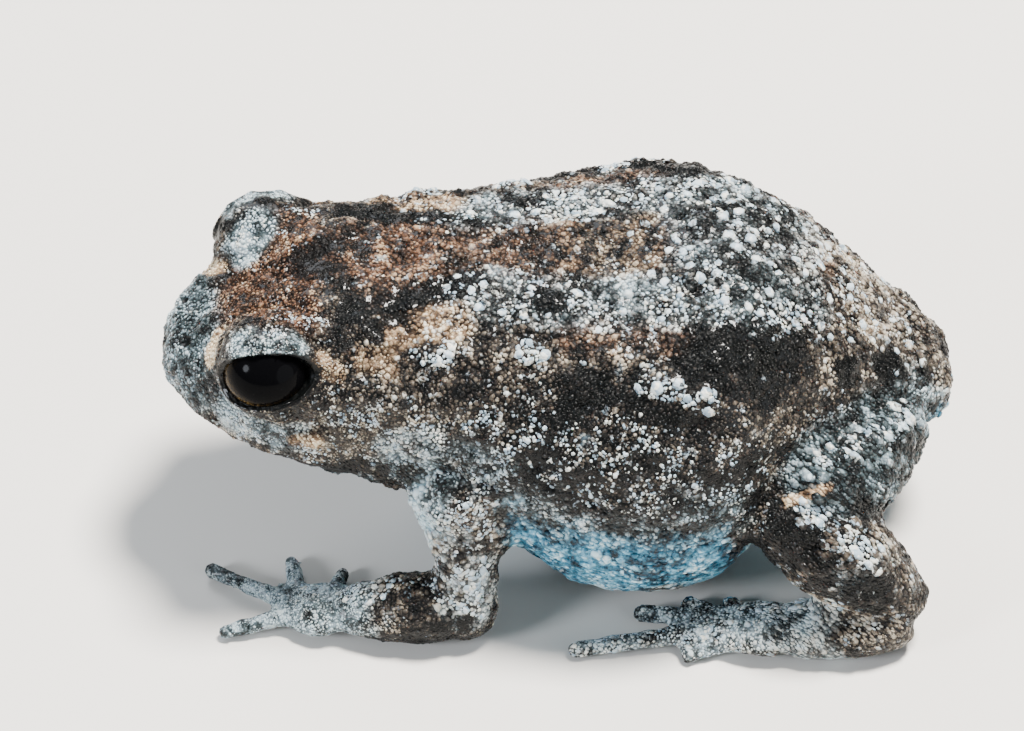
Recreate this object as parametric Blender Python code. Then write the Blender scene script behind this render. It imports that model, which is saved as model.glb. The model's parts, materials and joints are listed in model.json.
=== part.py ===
"""A western brood frog, life size, crouched on a flat floor with its belly, hands and feet down.

The frog faces -Y, its left side is +X, +Z is up and the floor is z = 0. Every piece of flesh is a loft:
a row of oval rings along a smooth line, closed at both ends. A piece that grows from another is cut back
by a copy of that one grown by GAP, so that the two meet face to face across a hair's breadth.
"""

import math

import bmesh
import bpy
import numpy as np
from mathutils import Matrix, Vector

MM = 0.001
GAP = 0.3 * MM
UP = Vector((0, 0, 1))
ACROSS_ARM = Vector((1, 0, 0.3))

# Head and trunk
BODY_LENGTH = 26.0
BODY_SIDES = 40
BODY_RINGS = 56
ROUNDNESS = 0.86
NECK_Y = -4.9

# Each station, in millimetres: distance from the snout, half width, back, belly, height of the widest place
BODY_STATIONS = (
    (0.00, 0.00, 7.8, 7.8, 7.8),
    (0.20, 1.10, 8.6, 7.1, 7.8),
    (0.80, 2.00, 9.1, 6.6, 7.7),
    (1.90, 3.00, 9.7, 6.1, 7.5),
    (3.40, 3.95, 10.5, 5.7, 7.3),
    (5.20, 4.55, 11.4, 5.2, 7.2),
    (7.20, 4.95, 11.6, 4.2, 7.0),
    (9.30, 5.40, 11.7, 3.4, 6.7),
    (11.5, 6.20, 11.6, 1.2, 6.1),
    (13.6, 6.95, 11.6, -0.4, 5.7),
    (15.8, 7.30, 11.7, -0.5, 5.6),
    (18.0, 6.90, 11.9, -0.1, 5.8),
    (20.0, 5.30, 11.3, 2.2, 6.7),
    (22.3, 3.70, 9.6, 3.4, 6.6),
    (24.2, 2.60, 7.8, 4.0, 6.0),
    (25.6, 1.60, 6.5, 4.3, 5.4),
    (26.0, 0.00, 5.3, 5.3, 5.3),
)

# Swellings of both sides, in millimetres: middle of the left one, reach and height
SWELLINGS = {
    "brow": ((1.9, -8.9, 10.4), 2.0, 0.60),
    "cheek below the eye": ((3.7, -9.8, 8.8), 1.5, 0.30),
    "ridge from nostril to eye": ((1.9, -11.4, 9.2), 1.3, 0.30),
    "gland behind the eye": ((4.0, -6.0, 9.4), 2.0, 0.25),
    "shoulder blade": ((3.6, -3.0, 10.6), 2.4, 0.12),
}

# Eyes and their lids
EYE_PLACE = (2.95, -9.6, 9.72)
EYE_RADIUS = 1.42
EYE_CLEARANCE = 0.15
LID_SIZE = (1.82, 1.85, 1.84)
LID_SHIFT = (-0.1, 0.15, -0.05)
EYE_LOOKS = (1.0, -0.14, 0.50)
OPENING = (1.35, 1.80, 1.06)
OPENING_OUT = 1.5
OPENING_TILT = 10

# Mouth: the lip line's distance from the snout and height, and the half thickness of the groove
LIP_LINE = ((0.0, 7.15), (0.9, 6.95), (2.4, 6.75), (4.2, 6.55), (5.6, 6.25), (6.4, 5.75))
LIP_GROOVE = 0.13
NOSTRIL = (1.0, 8.95)
NOSTRIL_SIZE = (0.16, 0.20, 0.14)

# Left arm and leg: joints in millimetres, and half thicknesses (across, up)
ARM_JOINTS = {"shoulder": (4.7, -3.35, 5.7), "elbow": (5.95, -3.5, 1.15), "wrist": (5.5, -7.2, 0.9)}
PALM = (4.95, -8.9, 0.55)
FINGERS = (
    ((4.7, -8.0, 0.5), (3.3, -7.5, 0.28)),
    ((4.5, -9.0, 0.5), (2.65, -9.15, 0.28)),
    ((4.6, -9.4, 0.5), (2.85, -11.8, 0.28)),
    ((5.3, -9.4, 0.5), (5.6, -11.4, 0.28)),
)
LEG_JOINTS = {"hip": (2.9, 10.2, 5.4), "knee": (6.2, 7.0, 4.7), "heel": (6.85, 10.4, 1.7)}
TARSUS = ((7.35, 10.2, 1.0), (7.45, 8.8, 0.95), (7.3, 7.4, 0.85))
SOLE = (6.9, 5.2, 0.6)
TOES = (
    ((6.9, 6.0, 0.45), (5.5, 5.3, 0.28)),
    ((6.8, 5.6, 0.45), (5.45, 3.9, 0.28)),
    ((6.7, 5.4, 0.5), (5.7, 2.3, 0.28)),
    ((6.8, 5.2, 0.5), (7.2, 0.0, 0.28)),
    ((7.2, 5.6, 0.45), (7.65, 3.7, 0.28)),
)
DIGIT = 0.32
DIGIT_RINGS = 13

# How thick each piece of a limb is: share of its length, half across, half up, and lift of its middle
UPPER_ARM = (
    (0.00, 2.00, 1.50, 0),
    (0.28, 1.60, 1.25, 0),
    (0.58, 1.12, 1.08, 0),
    (0.80, 1.00, 1.00, 0),
    (1.00, 1.05, 1.00, 0),
)
FOREARM = ((0, 1.0, 1.05, 0), (0.35, 1.25, 1.2, 0.1), (0.7, 1.1, 1.05, 0.05), (1, 0.9, 0.8, 0))
HAND = ((0, 0.9, 0.78, 0), (0.5, 1.15, 0.65, 0), (1, 1.0, 0.5, 0))
THIGH = ((0, 1.6, 1.8, 0), (0.35, 1.9, 2.0, 0), (0.7, 1.8, 1.85, 0), (1, 1.35, 1.4, 0))
SHANK = ((0, 1.3, 1.4, 0), (0.4, 1.6, 1.75, 0.3), (0.75, 1.45, 1.5, 0.15), (1, 1.1, 1.15, 0))
ANKLE = (1.0, 1.0)
INSTEP = (1.05, 0.95)
ARCH = (0.95, 0.85)
FOOT = ((0, 0.95, 0.82, 0), (0.5, 1.1, 0.7, 0), (1, 0.95, 0.5, 0))

# A finger or toe in the same way, in shares of DIGIT: narrow bones between swollen knuckles
KNUCKLES = (
    (0.00, 1.25, 1.15, 0.00),
    (0.18, 0.95, 0.95, 0.04),
    (0.36, 1.12, 1.10, 0.06),
    (0.53, 0.86, 0.86, 0.03),
    (0.70, 1.04, 1.00, 0.03),
    (0.86, 0.84, 0.84, 0.01),
    (1.00, 0.92, 0.90, 0.00),
)

# The right side is the left one mirrored, with each limb moved to a pose of its own
RIGHT_ARM_SHIFT = {"shoulder": (0, 0, 0), "elbow": (0.9, 0.5, 0), "wrist": (1.6, 0.7, 0)}
RIGHT_HAND_SHIFT = (1.9, 0.8, 0)
RIGHT_HAND_TURN = 24
RIGHT_LEG_SHIFT = {"hip": (0.5, -0.4, -0.6), "knee": (0.3, -0.8, -0.2), "heel": (0.1, -1.3, 0)}
RIGHT_FOOT_SHIFT = (0.2, -1.4, 0)
RIGHT_FOOT_TURN = 6

BACK_SKIN = ("back_skin", (0.150, 0.105, 0.080, 1.0), 0.42)
LIMB_SKIN = ("limb_skin", (0.200, 0.190, 0.170, 1.0), 0.42)
EYE_BLACK = ("eye_black", (0.006, 0.007, 0.009, 1.0), 0.06)


def collection(name, hidden=False):
    made = bpy.data.collections.new(name)
    made.hide_render = hidden
    bpy.context.scene.collection.children.link(made)
    return made


def material(name, colour, roughness):
    made = bpy.data.materials.get(name)
    if made is None:
        made = bpy.data.materials.new(name)
        made.use_nodes = True
        made.diffuse_color = colour
        shader = made.node_tree.nodes["Principled BSDF"]
        shader.inputs["Base Color"].default_value = colour
        shader.inputs["Roughness"].default_value = roughness
        shader.inputs["Metallic"].default_value = 0.0
    return made


def smooth_rows(stations, count):
    """Rows read evenly off a smooth curve through the stations, which it starts and ends on."""
    rows = np.asarray(stations, float)
    last = len(rows) - 1
    places = np.linspace(0, last, count)
    index = np.minimum(places.astype(int), last - 1)
    share = (places - index)[:, None]
    slope = np.empty_like(rows)
    slope[1:-1] = (rows[2:] - rows[:-2]) / 2
    slope[0] = rows[1] - rows[0]
    slope[-1] = rows[-1] - rows[-2]
    start, end = rows[index], rows[index + 1]
    leaving, arriving = slope[index], slope[index + 1]
    cubic = 2 * start - 2 * end + leaving + arriving
    square = -3 * start + 3 * end - 2 * leaving - arriving
    return ((cubic * share + square) * share + leaving) * share + start


def new_object(name, mesh, into):
    data = bpy.data.meshes.new(name)
    mesh.to_mesh(data)
    mesh.free()
    data.shade_smooth()
    made = bpy.data.objects.new(name, data)
    into.objects.link(made)
    if into is CUTTERS:
        made.display_type = "WIRE"
        made.hide_render = True
    return made


def loft(name, rings, into):
    """A closed skin over the rings, each as many points. The first and the last ring close to a point."""
    mesh = bmesh.new()
    snout = mesh.verts.new(sum(rings[0], Vector()) / len(rings[0]))
    loops = [[mesh.verts.new(point) for point in ring] for ring in rings[1:-1]]
    tail = mesh.verts.new(sum(rings[-1], Vector()) / len(rings[-1]))
    sides = len(rings[0])
    for k in range(sides):
        n = (k + 1) % sides
        mesh.faces.new((snout, loops[0][n], loops[0][k]))
        mesh.faces.new((tail, loops[-1][k], loops[-1][n]))
        for near, far in zip(loops[:-1], loops[1:]):
            mesh.faces.new((near[k], near[n], far[n], far[k]))
    bmesh.ops.recalc_face_normals(mesh, faces=mesh.faces)
    return new_object(name, mesh, into)


def egg(name, centre, size, into, turned=None, across=24):
    """An egg of three half sizes, in millimetres, turned by a rotation."""
    mesh = bmesh.new()
    place = Matrix.Translation(Vector(centre) * MM) @ (turned or Matrix.Identity(4))
    place = place @ Matrix.Diagonal((*(Vector(size) * MM), 1))
    bmesh.ops.create_uvsphere(mesh, u_segments=across, v_segments=across // 2, radius=1, matrix=place)
    return new_object(name, mesh, into)


def block(name, low, high):
    """A box between two corners, in millimetres, to cut with."""
    mesh = bmesh.new()
    low, high = Vector(low) * MM, Vector(high) * MM
    place = Matrix.Translation((low + high) / 2) @ Matrix.Diagonal((*(high - low), 1))
    bmesh.ops.create_cube(mesh, size=1, matrix=place)
    return new_object(name, mesh, CUTTERS)


def oval(half_width, upper, lower, middle, angle):
    """Where a ring of the body is at this angle: across and up."""
    side, high = math.cos(angle), math.sin(angle)
    reach = upper - middle if high > 0 else middle - lower
    x = half_width * math.copysign(abs(side) ** ROUNDNESS, side)
    z = middle + reach * math.copysign(abs(high) ** ROUNDNESS, high)
    return x, z


def swelling(point):
    """How far the skin stands out at this point of the body, in millimetres."""
    right = Vector((abs(point.x), point.y, point.z))
    return sum(high * math.exp(-((right - Vector(middle)).length / reach) ** 2)
               for middle, reach, high in SWELLINGS.values())


def body_rings():
    """The rings of head and trunk, from the snout to the vent."""
    rings = []
    for from_snout, half_width, back, belly, widest in smooth_rows(BODY_STATIONS, BODY_RINGS):
        ring = []
        for k in range(BODY_SIDES):
            x, z = oval(max(half_width, 0), back, belly, widest, 2 * math.pi * k / BODY_SIDES)
            point = Vector((x, from_snout - BODY_LENGTH / 2, z))
            outward = Vector((x, 0, z - widest))
            outward.normalize()
            ring.append((point + outward * swelling(point)) * MM)
        rings.append(ring)
    return rings


def body_at(from_snout):
    """Half width, back, belly and height of the widest place, at this distance from the snout."""
    rows = smooth_rows(BODY_STATIONS, 400)
    return [float(np.interp(from_snout, rows[:, 0], rows[:, i])) for i in range(1, 5)]


def side_of_body(from_snout, height):
    """The point on the left of the body at this distance from the snout and this height."""
    half_width, back, belly, widest = body_at(from_snout)
    reach = back - widest if height > widest else widest - belly
    share = min(abs(height - widest) / max(reach, 1e-6), 1)
    x = half_width * (1 - share ** (2 / ROUNDNESS)) ** (ROUNDNESS / 2)
    point = Vector((x, from_snout - BODY_LENGTH / 2, height))
    outward = Vector((x, 0, height - widest))
    outward.normalize()
    return point + outward * swelling(point)


def limb(name, stations, into, sides=14, rings=20, flat=UP):
    """A round-ended limb through stations: each a point and the half thickness across and up."""
    ends = []
    for here, inner in ((stations[0], stations[1]), (stations[-1], stations[-2])):
        outward = (Vector(here[0]) - Vector(inner[0])).normalized()
        reach = (here[1] + here[2]) / 2
        shoulder = (*(Vector(here[0]) + outward * reach * 0.72), here[1] * 0.70, here[2] * 0.70)
        tip = (*(Vector(here[0]) + outward * reach), 0, 0)
        ends.append([shoulder, tip])
    middle = [(*point, across, high) for point, across, high in stations]
    rows = smooth_rows(ends[0][::-1] + middle + ends[1], rings)
    made = []
    for i, row in enumerate(rows):
        along = Vector(rows[min(i + 1, rings - 1)][:3]) - Vector(rows[max(i - 1, 0)][:3])
        across = along.normalized().cross(flat).normalized()
        high = across.cross(along.normalized())
        ring = []
        for k in range(sides):
            angle = 2 * math.pi * k / sides
            out = across * (max(row[3], 0) * math.cos(angle)) + high * (max(row[4], 0) * math.sin(angle))
            ring.append((Vector(row[:3]) + out) * MM)
        made.append(ring)
    return loft(name, made, into)


def apply_modifiers(obj):
    graph = bpy.context.evaluated_depsgraph_get()
    data = bpy.data.meshes.new_from_object(obj.evaluated_get(graph))
    old = obj.data
    obj.modifiers.clear()
    obj.data = data
    bpy.data.meshes.remove(old)


def keep_largest(obj):
    """Drops every closed surface of the object but the one with the most volume."""
    mesh = bmesh.new()
    mesh.from_mesh(obj.data)
    left = set(mesh.faces)
    shells = []
    while left:
        shell = {left.pop()}
        edge = list(shell)
        while edge:
            near = {f for e in edge.pop().edges for f in e.link_faces if f in left}
            left -= near
            shell |= near
            edge.extend(near)
        volume = abs(sum(f.calc_center_median().dot(f.normal) * f.calc_area() for f in shell))
        shells.append((volume, shell))
    shells.sort(key=lambda pair: pair[0])
    loose = [f for _, shell in shells[:-1] for f in shell]
    bmesh.ops.delete(mesh, geom=loose, context="FACES")
    mesh.to_mesh(obj.data)
    mesh.free()


def join(obj, pieces):
    """Makes the closed pieces one body with obj."""
    group = collection("joined to " + obj.name, hidden=True)
    for piece in pieces:
        for old in list(piece.users_collection):
            old.objects.unlink(piece)
        group.objects.link(piece)
    union = obj.modifiers.new("join", "BOOLEAN")
    union.operation = "UNION"
    union.solver = "MANIFOLD"
    union.operand_type = "COLLECTION"
    union.collection = group
    apply_modifiers(obj)
    for piece in pieces:
        bpy.data.objects.remove(piece)
    bpy.data.collections.remove(group)
    keep_largest(obj)


def cut(obj, *tools):
    """Takes each closed tool away from obj."""
    for tool in tools:
        away = obj.modifiers.new("cut", "BOOLEAN")
        away.operation = "DIFFERENCE"
        away.solver = "MANIFOLD"
        away.object = tool
        apply_modifiers(obj)
        keep_largest(obj)


def grown(obj):
    """A copy of the object to cut with, its skin moved out by GAP."""
    made = obj.copy()
    made.data = obj.data.copy()
    made.name = obj.name + " grown"
    for vertex in made.data.vertices:
        vertex.co += vertex.normal * GAP
    CUTTERS.objects.link(made)
    made.display_type = "WIRE"
    made.hide_render = True
    return made


def finish(obj, look):
    """Flattens what would reach under the floor, and gives the object its material."""
    cut(obj, FLOOR)
    obj.data.shade_smooth()
    obj.data.materials.clear()
    obj.data.materials.append(material(*look))


def along(a, b, share, lift=0.0):
    return Vector(a).lerp(Vector(b), share) + Vector((0, 0, lift))


def placed(point, side, shift=(0, 0, 0), turn=0.0, about=(0, 0, 0)):
    """A point of the left side as it is, or mirrored, moved and turned about a post for the right side."""
    if side == "left":
        return Vector(point)
    arm = Vector(point) - Vector(about)
    turned = Matrix.Rotation(math.radians(turn), 3, "Z") @ arm + Vector(about) + Vector(shift)
    return Vector((-turned.x, turned.y, turned.z))


def segment(start, end, sizes, scale=1.0):
    """Stations of a limb from one point to another."""
    made = []
    for share, across, high, lift in sizes:
        made.append((along(start, end, share, lift), across * scale, high * scale))
    return made


def digits(root, ends, side, moved):
    """Fingers or toes, each with its bone in the palm or sole, swollen at its joints and at its tip."""
    made = []
    for base, tip in ends:
        base, tip = placed(base, side, *moved), placed(tip, side, *moved)
        bone = [(root, DIGIT * 1.3, DIGIT * 1.1)] + segment(base, tip, KNUCKLES, DIGIT)
        made.append(limb("digit", bone, CUTTERS, sides=7, rings=DIGIT_RINGS))
    return made


def arm(side):
    """Shoulder, elbow and wrist, with the hand flat on the floor."""
    shoulder, elbow, wrist = [placed(ARM_JOINTS[n], side, RIGHT_ARM_SHIFT[n]) for n in ARM_JOINTS]
    moved = (RIGHT_HAND_SHIFT, RIGHT_HAND_TURN, ARM_JOINTS["wrist"])
    palm = placed(PALM, side, *moved)
    upper_arm = limb("upper_arm_" + side, segment(shoulder, elbow, UPPER_ARM), FROG, flat=ACROSS_ARM)
    forearm = limb("forearm_" + side, segment(elbow, wrist, FOREARM), FROG, rings=18)
    hand = limb("hand_" + side, segment(wrist, palm, HAND), FROG, rings=16)
    join(hand, digits(along(wrist, palm, 0.55), FINGERS, side, moved))
    upper_arm_grown = grown(upper_arm)
    cut(hand, grown(forearm))
    cut(forearm, upper_arm_grown)
    cut(upper_arm, body_grown)
    return [upper_arm, forearm, hand]


def leg(side):
    """Hip, knee and heel folded against the flank, then the foot flat on the floor."""
    hip, knee, heel = [placed(LEG_JOINTS[n], side, RIGHT_LEG_SHIFT[n]) for n in LEG_JOINTS]
    moved = (RIGHT_FOOT_SHIFT, RIGHT_FOOT_TURN, TARSUS[0])
    ankle, instep, arch, sole = [placed(p, side, *moved) for p in (*TARSUS, SOLE)]
    thigh = limb("thigh_" + side, segment(hip, knee, THIGH), FROG, sides=18)
    shank = limb("shank_" + side, segment(knee, heel, SHANK), FROG, sides=18)
    tarsus = limb("tarsus_" + side, ((ankle, *ANKLE), (instep, *INSTEP), (arch, *ARCH)), FROG, rings=18)
    foot = limb("foot_" + side, segment(arch, sole, FOOT), FROG, rings=16)
    join(foot, digits(along(arch, sole, 0.5), TOES, side, moved))
    shank_grown = grown(shank)
    thigh_grown = grown(thigh)
    cut(foot, grown(tarsus), shank_grown, body_grown)
    cut(tarsus, shank_grown, thigh_grown, body_grown)
    cut(shank, body_grown)
    cut(thigh, shank_grown, body_grown)
    return [thigh, shank, tarsus, foot]


for old in list(bpy.data.objects):
    bpy.data.objects.remove(old)
FROG = collection("brood_frog")
CUTTERS = collection("cutters", hidden=True)
FLOOR = block("floor", (-60, -60, -60), (60, 60, 0))

# Head and torso, one loft parted by a thin cut behind the jaw
torso = loft("torso", body_rings(), FROG)
body_grown = grown(torso)
head = torso.copy()
head.data = torso.data.copy()
head.name = "head"
FROG.objects.link(head)
half_gap = GAP / MM / 2
cut(torso, block("before neck", (-60, -60, -60), (60, NECK_Y + half_gap, 60)))
cut(head, block("behind neck", (-60, NECK_Y - half_gap, -60), (60, 60, 60)))

# Eyes, each in a socket under a domed lid with a rim round its opening
lids = []
tools = []
for side, way in (("left", 1), ("right", -1)):
    centre = Vector((EYE_PLACE[0] * way, EYE_PLACE[1], EYE_PLACE[2]))
    looks = Vector((EYE_LOOKS[0] * way, EYE_LOOKS[1], EYE_LOOKS[2])).normalized()
    turned = looks.to_track_quat("X", "Z").to_matrix().to_4x4()
    domed = centre + Vector((LID_SHIFT[0] * way, LID_SHIFT[1], LID_SHIFT[2]))
    lids.append(egg("lid_" + side, domed, LID_SIZE, CUTTERS))
    tilted = Matrix.Rotation(math.radians(OPENING_TILT * way), 4, looks) @ turned
    tools.append(egg("opening_" + side, centre + looks * OPENING_OUT, OPENING, CUTTERS, tilted))
    tools.append(egg("socket_" + side, centre, [EYE_RADIUS + EYE_CLEARANCE] * 3, CUTTERS))
    eye = egg("eye_" + side, centre, [EYE_RADIUS] * 3, FROG, turned, across=20)
    eye.data.materials.append(material(*EYE_BLACK))
join(head, lids)
cut(head, *tools)

# Mouth: a groove along the lips from one corner round the snout to the other
left_lip = [side_of_body(max(s, 0.05), z) for s, z in LIP_LINE[1:]]
front = Vector((0, side_of_body(0.05, LIP_LINE[0][1]).y + 0.1, LIP_LINE[0][1]))
lip = [Vector((-p.x, p.y, p.z)) for p in reversed(left_lip)] + [front] + left_lip
groove = limb("mouth", [(p, LIP_GROOVE, LIP_GROOVE) for p in lip], CUTTERS, sides=6, rings=48)
nostril = side_of_body(*NOSTRIL)
nostrils = []
for way in (1, -1):
    hole = (nostril.x * way, nostril.y, nostril.z)
    nostrils.append(egg("nostril", hole, NOSTRIL_SIZE, CUTTERS, across=8))
cut(head, groove, *nostrils)
finish(head, BACK_SKIN)
finish(torso, BACK_SKIN)

# Arms and legs
for side in ("left", "right"):
    for piece in arm(side) + leg(side):
        finish(piece, LIMB_SKIN)

# The origin is at the middle of the footprint, on the floor
pieces = list(FROG.objects)
corners = [obj.matrix_world @ v.co for obj in pieces for v in obj.data.vertices]
middle = Vector([(min(c[i] for c in corners) + max(c[i] for c in corners)) / 2 for i in (0, 1)] + [0])
for obj in pieces:
    obj.data.transform(Matrix.Translation(-middle))
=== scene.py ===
import itertools
import json
import math

import bpy
import numpy as np
from mathutils import Matrix, Vector, noise

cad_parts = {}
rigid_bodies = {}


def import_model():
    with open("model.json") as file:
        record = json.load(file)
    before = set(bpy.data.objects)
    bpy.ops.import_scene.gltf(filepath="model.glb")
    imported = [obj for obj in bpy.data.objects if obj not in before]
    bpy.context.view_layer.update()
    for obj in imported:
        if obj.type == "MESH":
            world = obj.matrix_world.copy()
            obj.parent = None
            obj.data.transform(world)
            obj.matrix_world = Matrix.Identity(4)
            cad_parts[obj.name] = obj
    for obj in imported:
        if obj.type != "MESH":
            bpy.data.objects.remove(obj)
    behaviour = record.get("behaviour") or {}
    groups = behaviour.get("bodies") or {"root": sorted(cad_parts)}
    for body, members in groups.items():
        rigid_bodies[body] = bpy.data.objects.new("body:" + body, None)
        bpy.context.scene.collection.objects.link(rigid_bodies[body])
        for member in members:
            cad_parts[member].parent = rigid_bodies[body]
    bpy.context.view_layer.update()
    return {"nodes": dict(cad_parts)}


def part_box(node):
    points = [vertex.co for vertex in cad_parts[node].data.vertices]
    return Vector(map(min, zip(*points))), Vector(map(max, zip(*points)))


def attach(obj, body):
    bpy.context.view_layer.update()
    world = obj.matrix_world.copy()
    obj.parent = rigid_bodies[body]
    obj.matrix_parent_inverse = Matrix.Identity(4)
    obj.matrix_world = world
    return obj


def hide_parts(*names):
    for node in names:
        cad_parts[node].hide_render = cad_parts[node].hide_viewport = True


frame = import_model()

# The stand: a plain pale sheet of matt card under the frog, in a pale room. A lamp over its back lights it,
# one before its left eye fills, and two wide, weak ones stand on its far side and low behind its rump. The
# frog is 26 mm long, so lamps and camera are only centimetres away.
CARD = "#d9d6d0"
CARD_SIZE = 0.9
CARD_BELOW = 0.00002
CARD_ROUGHNESS = 0.75
SKY = "#dfe7ec"
SKY_STRENGTH = 0.25
# Each lamp's place in metres, its width, its power in watts and its colour; all are turned to one point
LAMPS = {
    "lamp_key": ((-0.02, 0.08, 0.30), 0.08, 4.2, "#fffaf4"),
    "lamp_front": ((0.12, -0.24, 0.125), 0.08, 0.8, "#eef5ff"),
    "lamp_back": ((-0.22, -0.06, 0.18), 0.16, 0.5, "#f2f7ff"),
    "lamp_low": ((0.20, 0.20, 0.07), 0.26, 0.45, "#f2f7ff"),
}
LIT = Vector((0, 0, 0.005))


def linear(code):
    """An sRGB hex colour as linear red, green, blue and alpha."""
    parts = [int(code[i:i + 2], 16) / 255 for i in (1, 3, 5)]
    return (*((p / 12.92 if p <= 0.04045 else ((p + 0.055) / 1.055) ** 2.4) for p in parts), 1.0)


def add(tree, kind, fed=(), **settings):
    """Adds a node to a tree with its settings, and fills its inputs with values or with the outputs of
    other nodes."""
    node = tree.nodes.new(kind)
    for name, value in settings.items():
        setattr(node, name, value)
    for place, value in dict(fed).items():
        if isinstance(value, bpy.types.NodeSocket):
            tree.links.new(value, node.inputs[place])
        else:
            node.inputs[place].default_value = value
    return node


def new_material(name):
    """A material with an empty Principled shader, and its tree."""
    made = bpy.data.materials.new(name)
    made.use_nodes = True
    return made, made.node_tree, made.node_tree.nodes["Principled BSDF"]


bpy.ops.object.select_all(action="DESELECT")
bpy.ops.mesh.primitive_plane_add(size=CARD_SIZE, location=(0, 0, -CARD_BELOW))
card = bpy.context.object
card.name = "card_floor"
# Uncoated card: to the eye it is dull and even, with no glare
paper, tree, shader = new_material("matt card")
shader.inputs["Base Color"].default_value = linear(CARD)
shader.inputs["Roughness"].default_value = CARD_ROUGHNESS
card.data.materials.append(paper)

world = bpy.context.scene.world or bpy.data.worlds.new("studio")
bpy.context.scene.world = world
world.use_nodes = True
sky = world.node_tree.nodes["Background"]
sky.inputs["Color"].default_value = linear(SKY)
sky.inputs["Strength"].default_value = SKY_STRENGTH

for name, (place, size, power, colour) in LAMPS.items():
    bpy.ops.object.light_add(type="AREA", location=place)
    lamp = bpy.context.object
    lamp.name = name
    lamp.data.shape = "DISK"
    lamp.data.size = size
    lamp.data.energy = power
    lamp.data.color = linear(colour)[:3]
    lamp.rotation_euler = (LIT - Vector(place)).to_track_quat("-Z", "Y").to_euler()

# The camera looks down on the frog's left side from close by, through a macro lens.
AIM = Vector((0.00049, -0.0016, 0.0064))
LENS = 149.4
SENSOR = 36
NEAREST = 0.005
azimuth, elevation, distance = math.radians(86.0), math.radians(44.0), 0.140
bpy.ops.object.camera_add()
camera = bpy.context.object
camera.name = "camera"
away = Vector((math.sin(azimuth) * math.cos(elevation), -math.cos(azimuth) * math.cos(elevation),
               math.sin(elevation)))
camera.location = AIM + away * distance
camera.rotation_euler = (-away).to_track_quat("-Z", "Y").to_euler()
camera.data.lens = LENS
camera.data.sensor_width = SENSOR
camera.data.clip_start = NEAREST
bpy.context.scene.camera = camera

# The skin: one unbroken hide over head, trunk and limbs. The flesh of the frame is copied and worked at a
# thousand times its size, so that a unit is a millimetre: swollen until its parts meet, made one closed
# surface, let down again and smoothed.
TO_MM = 1000
SWELL = 0.20
WEAVE = 0.10
# Toes, and the belly on the floor, swell less: shares of the swelling
TOE_SWELL = 0.6
BELLY_SWELL = 0.45
NECK_Y = -4.9
NECK_WIDTH = 0.5
# Where limbs and trunk were parted: middles on the left side, from the frog's middle plane, and reach
ROOTS = (((5.5, -3.6, 5.2), 1.6), ((3.9, 7.6, 6.2), 1.6), ((3.1, 10.4, 6.4), 1.3), ((5.7, 6.6, 4.2), 1.0))
SHOULDER_Z = 5.7
ELBOW_Y = -3.2
FOREARM_LONG = 5
# How far the right limbs lie from the mirrored left ones: hand and fingers outwards and back, leg and foot
# forwards
HAND_OUT, FINGERS_OUT = 1.1, 0.9
HAND_BACK, FINGERS_BACK = 0.6, 0.3
LEG_AHEAD, FOOT_AHEAD = 0.4, 1.2

eyes = {}
for side in ("left", "right"):
    low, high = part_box("eye_" + side)
    eyes[side] = np.array((low + high) / 2) * TO_MM
MIDDLE = (eyes["left"][0] + eyes["right"][0]) / 2
# Which way the left eye looks, and the egg that its lids leave open: half sizes, how far out and down it
# lies from the eye's centre, and its tilt in degrees
LOOKS = (1.0, -0.14, 0.50)
OPENING = (1.35, 1.80, 0.88)
OPENING_OUT = 1.5
OPENING_DROP = -0.09
OPENING_TILT = 10


def press(piece, kind, **settings):
    """Adds one modifier to the active piece and applies it."""
    made = piece.modifiers.new(kind, kind)
    for name, value in settings.items():
        setattr(made, name, value)
    bpy.ops.object.modifier_apply(modifier=made.name)


def rows_of(items, what, wide=3, kind=np.float32):
    """One measure of a mesh's points, faces or corners, as rows."""
    flat = np.empty(len(items) * wide, kind)
    items.foreach_get(what, flat)
    return flat.reshape(-1, wide)


def points_of(piece):
    """Where the piece's points are."""
    return rows_of(piece.data.vertices, "co").astype(float)


def normals_of(piece):
    """Which way the piece's surface faces at each of its points."""
    return rows_of(piece.data.vertex_normals, "vector").astype(float)


def place_points(piece, rows):
    """Moves the piece's points to these places."""
    piece.data.vertices.foreach_set("co", rows.astype(np.float32).ravel())
    piece.data.update()


def folded(rows):
    """The same places measured from the frog's middle plane, with the right side laid on the left, and its
    limbs on those of the left."""
    laid = rows.copy()
    laid[:, 0] = np.abs(laid[:, 0] - MIDDLE)
    right = rows[:, 0] < MIDDLE
    down = np.clip((SHOULDER_Z - laid[:, 2]) / SHOULDER_Z, 0, 1) * right
    ahead = np.clip((ELBOW_Y - laid[:, 1]) / FOREARM_LONG, 0, 1) * down
    arm = laid[:, 1] < -1.5
    laid[:, 0] -= np.where(arm, HAND_OUT * down + FINGERS_OUT * ahead, 0)
    laid[:, 1] -= np.where(arm, HAND_BACK * down + FINGERS_BACK * ahead, 0)
    leg = (laid[:, 1] > 1) & (laid[:, 0] > 4)
    laid[:, 1] += np.where(leg, LEG_AHEAD * right + FOOT_AHEAD * down, 0)
    return laid


def eye_axes(way):
    """The axes of one eye's opening: out of the eye, along its lids, and up."""
    looks = Vector((LOOKS[0] * way, LOOKS[1], LOOKS[2])).normalized()
    tilt = Matrix.Rotation(math.radians(OPENING_TILT * way), 3, looks)
    return np.array(tilt @ looks.to_track_quat("X", "Z").to_matrix())


def opening(rows):
    """How far each place is from the nearer eye's opening: below 1 inside it, 1 on its rim."""
    nearest = np.full(len(rows), 9.0)
    for side, way in (("left", 1), ("right", -1)):
        local = (rows - eyes[side]) @ eye_axes(way)
        away = np.linalg.norm((local - (OPENING_OUT, 0, OPENING_DROP)) / OPENING, axis=1)
        nearest = np.minimum(nearest, away)
    return nearest


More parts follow.
